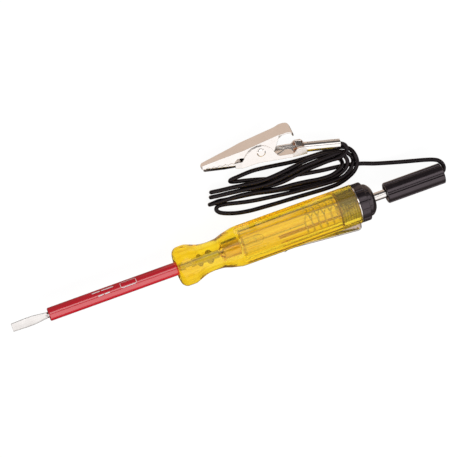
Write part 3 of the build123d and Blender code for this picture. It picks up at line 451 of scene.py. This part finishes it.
# centre line of the wire from the clip's barrel to the plug: x, y, z in mm
WIRE = [
    (70.06, 22.77, -3.85), (70.74, 22.59, -3.89), (71.41, 22.41, -3.93), (72.70, 21.96, -4.00),
    (73.59, 21.01, -4.01), (73.69, 19.75, -3.81), (72.93, 18.71, -3.46), (71.73, 18.02, -3.24),
    (70.40, 17.59, -3.50), (69.09, 17.48, -4.14), (67.77, 17.53, -4.73), (64.99, 17.51, -5.32),
    (62.18, 17.36, -5.40), (57.28, 17.12, -5.25), (52.42, 16.51, -5.06), (47.57, 15.96, -5.07),
    (42.81, 16.02, -5.99), (38.13, 16.76, -6.97), (33.34, 17.68, -7.12), (28.49, 18.29, -7.10),
    (24.36, 18.77, -7.12), (23.01, 18.94, -7.12), (21.73, 19.13, -6.90), (21.02, 19.34, -5.97),
    (21.53, 19.39, -4.92), (22.77, 19.25, -4.60), (24.11, 19.07, -4.76), (25.47, 18.90, -4.99),
    (28.23, 18.61, -5.20), (33.09, 18.03, -5.23), (37.91, 17.36, -4.88), (42.72, 17.18, -4.08),
    (47.57, 17.62, -3.71), (52.42, 18.27, -3.84), (57.28, 18.82, -4.03), (62.17, 19.03, -4.12),
    (67.09, 19.10, -4.09), (69.86, 19.07, -4.45), (72.10, 17.63, -5.03), (72.81, 15.11, -5.28),
    (71.39, 12.86, -5.62), (68.95, 11.65, -6.15), (66.24, 11.14, -6.55), (61.39, 11.05, -7.05),
    (56.53, 11.51, -7.11), (51.68, 12.20, -7.12), (46.85, 13.03, -7.11), (42.05, 13.98, -7.10),
    (37.27, 15.04, -7.10), (32.43, 15.76, -7.10), (27.58, 16.35, -7.11), (23.43, 16.98, -7.12),
    (22.06, 16.93, -7.12), (20.74, 16.86, -6.97), (19.88, 16.96, -6.13), (20.19, 17.07, -5.02),
    (21.38, 17.02, -4.58), (22.73, 16.91, -4.69), (24.10, 16.82, -4.90), (26.87, 16.70, -5.14),
    (31.75, 16.41, -5.23), (36.59, 15.70, -5.23), (41.41, 14.79, -5.19), (46.25, 14.07, -5.21),
    (51.14, 13.70, -5.24), (55.99, 13.11, -5.33), (60.82, 12.34, -5.40), (65.61, 12.22, -5.33),
    (68.21, 12.93, -5.29), (69.44, 13.51, -5.30), (70.46, 14.33, -5.49), (70.94, 15.40, -6.09),
    (70.68, 16.52, -6.72), (69.81, 17.48, -7.05), (68.61, 18.12, -7.12), (67.28, 18.45, -7.12),
    (64.50, 18.63, -7.10), (59.61, 18.53, -7.09), (54.74, 18.31, -6.76), (49.93, 18.29, -5.90),
    (45.07, 18.24, -5.38), (40.21, 18.48, -5.65), (35.44, 19.04, -6.57), (30.64, 19.77, -7.07),
    (25.80, 20.34, -7.12), (24.44, 20.50, -7.12), (23.11, 20.69, -7.09), (21.98, 20.91, -6.58),
    (21.78, 21.08, -5.44), (22.73, 21.04, -4.69), (24.04, 20.87, -4.65), (25.39, 20.68, -4.88),
    (26.75, 20.50, -5.07), (29.52, 20.19, -5.20), (34.35, 19.56, -4.92), (39.15, 19.04, -4.13),
    (44.01, 19.15, -3.71), (48.87, 19.52, -4.05), (53.66, 19.93, -4.91), (58.50, 20.39, -5.32),
    (63.40, 20.41, -5.39), (68.24, 19.84, -5.76), (70.95, 19.39, -6.24), (73.43, 18.31, -6.32),
    (74.35, 17.35, -6.46), (74.99, 16.21, -6.48), (75.09, 14.99, -6.15), (74.59, 13.91, -5.63),
    (73.78, 12.90, -5.31), (72.84, 11.94, -5.18), (70.52, 10.52, -5.23), (67.80, 9.98, -5.32),
    (65.00, 9.92, -5.37), (60.10, 10.19, -5.44), (55.23, 10.61, -5.68), (50.39, 10.98, -6.23),
    (45.57, 11.48, -6.97), (40.72, 12.11, -7.11), (35.86, 12.79, -7.10), (31.07, 13.73, -7.10),
    (26.35, 14.87, -7.09), (25.00, 15.12, -7.08), (23.67, 15.30, -7.07), (22.37, 15.21, -7.08),
    (21.64, 14.34, -7.10), (22.15, 13.22, -7.11), (23.25, 12.44, -7.10), (24.51, 11.87, -7.10),
    (25.81, 11.38, -7.10), (28.48, 10.58, -7.10), (33.30, 9.76, -7.10), (38.18, 9.38, -7.10),
    (43.07, 9.06, -7.10), (47.96, 8.81, -7.10), (52.86, 8.55, -7.10), (57.75, 8.25, -7.10),
    (62.64, 8.00, -7.11), (67.52, 8.15, -7.03), (72.11, 9.60, -6.28), (74.39, 11.11, -5.45),
    (75.96, 13.45, -4.75), (76.20, 16.30, -5.23), (75.35, 18.78, -6.26), (73.17, 20.31, -6.98),
    (70.45, 20.90, -7.12), (67.64, 20.86, -7.11), (62.74, 20.97, -7.10), (57.84, 21.14, -7.10),
    (52.96, 21.51, -7.10), (48.10, 22.17, -7.10), (43.25, 22.84, -7.11), (38.38, 23.26, -6.97),
    (33.64, 23.20, -5.93), (32.36, 23.18, -5.40), (31.07, 23.15, -5.02), (29.88, 22.94, -5.28),
    (29.65, 22.41, -6.27), (30.57, 21.89, -6.96), (31.86, 21.51, -7.12), (33.21, 21.19, -7.12),
    (34.56, 20.89, -7.12), (39.30, 19.67, -7.12), (44.00, 18.32, -7.10), (48.77, 17.20, -7.10),
    (53.60, 16.35, -7.10), (58.42, 15.52, -7.10), (63.27, 14.78, -7.10), (68.13, 14.23, -7.11),
    (72.98, 13.54, -7.12), (77.70, 12.32, -7.11), (82.32, 10.71, -6.96), (86.97, 9.41, -6.21),
    (91.53, 8.26, -4.87), (95.97, 7.25, -3.22), (99.80, 6.35, -1.90), (102.35, 5.58, -1.10),
    (103.95, 4.72, -0.55), (104.92, 3.33, -0.20), (105.08, 1.92, -0.05), (104.55, 0.75, 0.00),
    (103.45, 0.12, 0.00), (102.50, 0.00, 0.00), (101.80, 0.00, 0.00), (99.0, 0, 0),
]


def build_wire():
    barrel = [clip_point(19.2, -3.52), clip_point(22.2, -3.82), clip_point(25.2, -4.12)]
    path = resample(barrel + WIRE, WIRE_STEP)
    window = 41  # stations the random wobble is averaged over
    draws = np.random.default_rng(7).normal(0, 1, len(path) + window - 1)
    wobble = np.convolve(draws, np.ones(window) / window, "valid")

    def radius(i, angle):
        # drawn vinyl: very slightly uneven, with faint extrusion lines
        return WIRE_RADIUS + 0.012 * wobble[i] + 0.004 * math.cos(5 * angle + 0.8)

    wire = tube("wire", path, radius, materials["black_wire"], sides=22)
    put_on_lead(wire, "cable")


def build_strands(name, start, end, node):
    """Bare copper strands from start to end (mm), joined into one object."""
    length = np.linalg.norm(end - start)
    axis = (end - start) / length
    side = unit(np.cross(axis, [0, 0, 1.0]))
    other = np.cross(axis, side)
    strands = []
    for s in range(STRAND_COUNT):
        path = []
        for u in np.linspace(0, 1, max(24, int(length * 5))):
            point = start + axis * length * u
            if s > 0:
                turn = 2 * math.pi * (s - 1) / (STRAND_COUNT - 1) + STRAND_TWIST * u * length
                outward = side * math.cos(turn) + other * math.sin(turn)
                point = point + outward * 2 * STRAND_RADIUS
            path.append(point)
        strand = tube(f"{name}_{s}", np.array(path), STRAND_RADIUS, materials["copper"], sides=8)
        strands.append(strand)
    bpy.ops.object.select_all(action="DESELECT")
    for strand in strands:
        strand.select_set(True)
    bundle = strands[0]
    bpy.context.view_layer.objects.active = bundle
    bpy.ops.object.join()
    bundle.name = name
    put_on_lead(bundle, node)


build_wire()
build_strands("strands_clip_end", clip_point(12.8, -3.45), clip_point(19.15, -3.52),
              "conductor_clip_end")
build_strands("strands_plug_end", np.array([94.8, 0, 0]), np.array([98.8, 0, 0]),
              "conductor_plug_end")

# ------------------------------------------------------------------ sleeve marks
# Laid out flat in mm: x, and arc, the length round the sleeve from the line that faces the
# camera, positive towards +Y.
PRINT_RADIUS = 2.462
PRINT_THICKNESS = 0.012
STROKE_STEPS = 8
BAR_WIDTH = 0.42
# x of the start, arc, length
BARS = [(-31.6, 1.95, 3.0), (-28.1, 1.95, 4.6), (-29.8, 0.22, 2.1), (-27.2, 0.22, 1.9)]
BOX_X = (-21.0, -15.1)
BOX_ARC = (0.15, 2.3)
BOX_CORNER = 0.6
BOX_LINE = 0.17
BOX_LOW_LINE = 0.30  # the box's edge nearest arc 0 is heavier


def box_strokes():
    """Outline of an empty box with rounded corners, as (start, end, width)."""
    x0, x1 = BOX_X[0] + BOX_CORNER, BOX_X[1] - BOX_CORNER
    arc0, arc1 = BOX_ARC[0] + BOX_CORNER, BOX_ARC[1] - BOX_CORNER
    outline = []
    for x, arc, first in ((x1, arc1, 0), (x0, arc1, 90), (x0, arc0, 180), (x1, arc0, 270)):
        for turn in range(first, first + 91, 15):
            angle = math.radians(turn)
            outline.append((x + BOX_CORNER * math.cos(angle), arc + BOX_CORNER * math.sin(angle)))
    outline.append(outline[0])
    strokes = []
    for start, end in zip(outline, outline[1:]):
        low = max(start[1], end[1]) < BOX_ARC[0] + 0.1
        strokes.append((start, end, BOX_LOW_LINE if low else BOX_LINE))
    return strokes


def build_print():
    """White strokes wrapped round the sleeve."""
    strokes = [((x, arc), (x + length, arc), BAR_WIDTH) for x, arc, length in BARS]
    verts, faces = [], []
    for start, end, width in strokes + box_strokes():
        base = len(verts)
        start, end = np.array(start), np.array(end)
        along = unit(end - start)
        half = np.array([-along[1], along[0]]) * width / 2
        for i in range(STROKE_STEPS + 1):
            centre = start + (end - start) * i / STROKE_STEPS
            for x, arc in (centre + half, centre - half):
                angle = math.radians(CAMERA_SIDE) - arc / PRINT_RADIUS
                y, z = PRINT_RADIUS * math.cos(angle), PRINT_RADIUS * math.sin(angle)
                verts.append((x * MM, y * MM, z * MM))
        for i in range(base, base + 2 * STROKE_STEPS, 2):
            faces.append((i, i + 2, i + 3, i + 1))
    ob = mesh_object("sleeve_print", verts, faces, materials["white_print"])
    solid = ob.modifiers.new("thick", "SOLIDIFY")
    solid.thickness = PRINT_THICKNESS * MM
    solid.offset = -1
    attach(ob, "probe")


build_print()


# ------------------------------------------------------------------ springs
def build_spring(node, name, start, end):
    """Copy of a spring in place of the original, which is hidden; start and end, in mm, are not
    used.
    """
    ob = link_object(name, frame["nodes"][node].data.copy())
    start, end = (tuple(float(v) * MM for v in point) for point in (start, end))
    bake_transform(ob)
    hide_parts(node)


build_spring("contact_spring", "spring_in_handle",
             start=(25.5, 0, 0), end=(62.5, 0, 0))
build_spring("clip_spring", "spring_in_clip",
             start=clip_point(1.6, 1.4), end=clip_point(6.0, 3.9))


# ------------------------------------------------------------------ table
def table_paper():
    """Light table: bright to the eye and through clear parts, dull where shiny parts mirror it."""
    k = Material("table_paper")
    cloud = k.noise(scale=30, detail=3)
    k.set(
        Base_Color=k.ramp(cloud, [(0.3, (0.10, 0.10, 0.10)), (0.7, (0.12, 0.12, 0.12))]),
        Roughness=0.9,
        Specular_IOR_Level=0.0,
    )

    def emission(color, strength):
        return k.node("Emission", {"Color": color, "Strength": strength}).outputs[0]

    white = (1, 1, 1, 1)
    glow = emission(white, strength=0.93)
    seen = k.node("AddShader", {0: k.shader.outputs[0], 1: glow}).outputs[0]
    soft = emission(white, strength=0.55)

    # mirrored table: brighter to rays that reach it from -Y, and stronger towards +X
    geometry = k.node("NewGeometry").outputs
    incoming = k.node("SeparateXYZ", {0: geometry["Incoming"]}).outputs
    position = k.node("SeparateXYZ", {0: geometry["Position"]}).outputs
    side = k.map_range(incoming["Y"], to_min=0.0, to_max=1.0, from_min=-0.35, from_max=0.35)
    dull = emission(
        k.ramp(side, [(0.2, (0.66, 0.53, 0.44)), (0.8, (0.11, 0.09, 0.08))]),
        strength=k.map_range(position["X"], to_min=0.22, to_max=1.0,
                             from_min=-0.004, from_max=0.012),
    )
    rays = k.node("LightPath").outputs
    direct = k.mix_shader(rays["Is Diffuse Ray"], seen, soft)
    k.surface(k.mix_shader(k.mirror_ray(rays), direct, dull))
    return k.material


def build_table():
    material = table_paper()
    bpy.ops.mesh.primitive_plane_add(size=6, location=(0.02, 0, FLOOR - 0.05 * MM))
    table = bpy.context.object
    table.name = "table"
    table.data.materials.append(material)


build_table()

# ------------------------------------------------------------------ world
# What shiny parts mirror: a thin strip light and a broad one in a dark room, both along X.
# Columns: degrees round X from the camera towards -Y, brightness, warmth of the tint.
ROOM = [
    (-CAMERA_SIDE, 0.10, 1), (-44, 0.10, 1), (-27, 0.12, 1),
    (-23, 1.5, 0.1), (-5, 1.5, 0.1),
    (-1, 0.16, 0.4), (8, 0.16, 0.4),
    (12, 1.2, 0.2), (66, 1.15, 0.2), (76, 1.0, 0.3),
    (83, 0.32, 1), (98, 0.28, 1),
]


def build_world():
    world = bpy.data.worlds.new("studio")
    bpy.context.scene.world = world
    world.use_nodes = True
    k = Graph(world.node_tree)

    def background(color, strength=1.0):
        return k.node("Background", {"Color": color, "Strength": strength}).outputs[0]

    axes = k.node("SeparateXYZ", {0: k.node("TexCoord").outputs["Generated"]}).outputs
    angle = k.math("ARCTAN2", axes["Z"], axes["Y"])
    stops = []
    for degrees, value, warm in ROOM:
        rgb = (value, value * (1 - 0.10 * warm), value * (1 - 0.14 * warm))
        stops.append(((CAMERA_SIDE + degrees) / 180.0, rgb))
    room = k.ramp(k.math("DIVIDE", angle, math.pi), stops)

    rays = k.node("LightPath").outputs
    plain = background((1, 1, 1, 1), strength=0.62)
    # clear parts show the room softened towards an even white
    through = background(k.mix_color(0.55, (1.05, 1.05, 1.05, 1), room))
    unmirrored = k.mix_shader(rays["Is Transmission Ray"], plain, through)
    sky = k.mix_shader(k.mirror_ray(rays), unmirrored, background(room))
    k.node("OutputWorld", {0: sky})


build_world()


# ------------------------------------------------------------------ lights
def softbox(name, degrees, distance, width, height, power):
    """Area light aimed at the tool from an angle round X, in degrees from +Y to +Z."""
    light = bpy.data.lights.new(name, "AREA")
    light.shape = "RECTANGLE"
    light.size = width
    light.size_y = height
    light.energy = power
    ob = link_object(name, light)
    target = Vector((0.03, 0.008, 0))
    angle = math.radians(degrees)
    ob.location = target + Vector((0, math.cos(angle), math.sin(angle))) * distance
    ob.rotation_euler = (target - ob.location).to_track_quat("-Z", "Y").to_euler()
    ob.visible_glossy = False
    ob.visible_transmission = False


softbox("front_box", degrees=128, distance=0.75, width=0.9, height=0.42, power=3.0)
softbox("back_fill", degrees=30, distance=1.0, width=0.9, height=0.4, power=0.4)

# ------------------------------------------------------------------ camera
FIELD_OF_VIEW = math.radians(11.0)
VIEW_HALF = 82.44  # half the longer side of the view at the aim point, mm
AIM = (22.86, 7.1, 0)  # mm
CAMERA_LEAN = 7.5  # degrees the camera leans towards -X
CAMERA_ROLL = 19.75  # degrees round the line of sight


def build_camera():
    lean, tilt = math.radians(CAMERA_LEAN), math.radians(CAMERA_TILT)
    roll = math.radians(CAMERA_ROLL)
    back = Vector((-math.sin(lean), math.cos(lean) * math.sin(tilt),
                   math.cos(lean) * math.cos(tilt))).normalized()
    # the X axis as seen in the view, and the axis square to it
    level = (Vector((1, 0, 0)) - back * back.x).normalized()
    upright = back.cross(level)
    right = level * math.cos(roll) - upright * math.sin(roll)
    up = level * math.sin(roll) + upright * math.cos(roll)

    camera = bpy.data.cameras.new("camera")
    camera.sensor_width = 36
    camera.angle = FIELD_OF_VIEW
    camera.clip_start = 0.01
    camera.clip_end = 20
    ob = link_object("camera", camera)
    distance = VIEW_HALF / math.tan(FIELD_OF_VIEW / 2) * MM
    place = Vector(AIM) * MM + back * distance
    rows = [(right[i], up[i], back[i], place[i]) for i in range(3)]
    ob.matrix_world = Matrix((*rows, (0, 0, 0, 1)))
    bpy.context.scene.camera = ob


build_camera()
bpy.context.scene.view_settings.view_transform = "Standard"
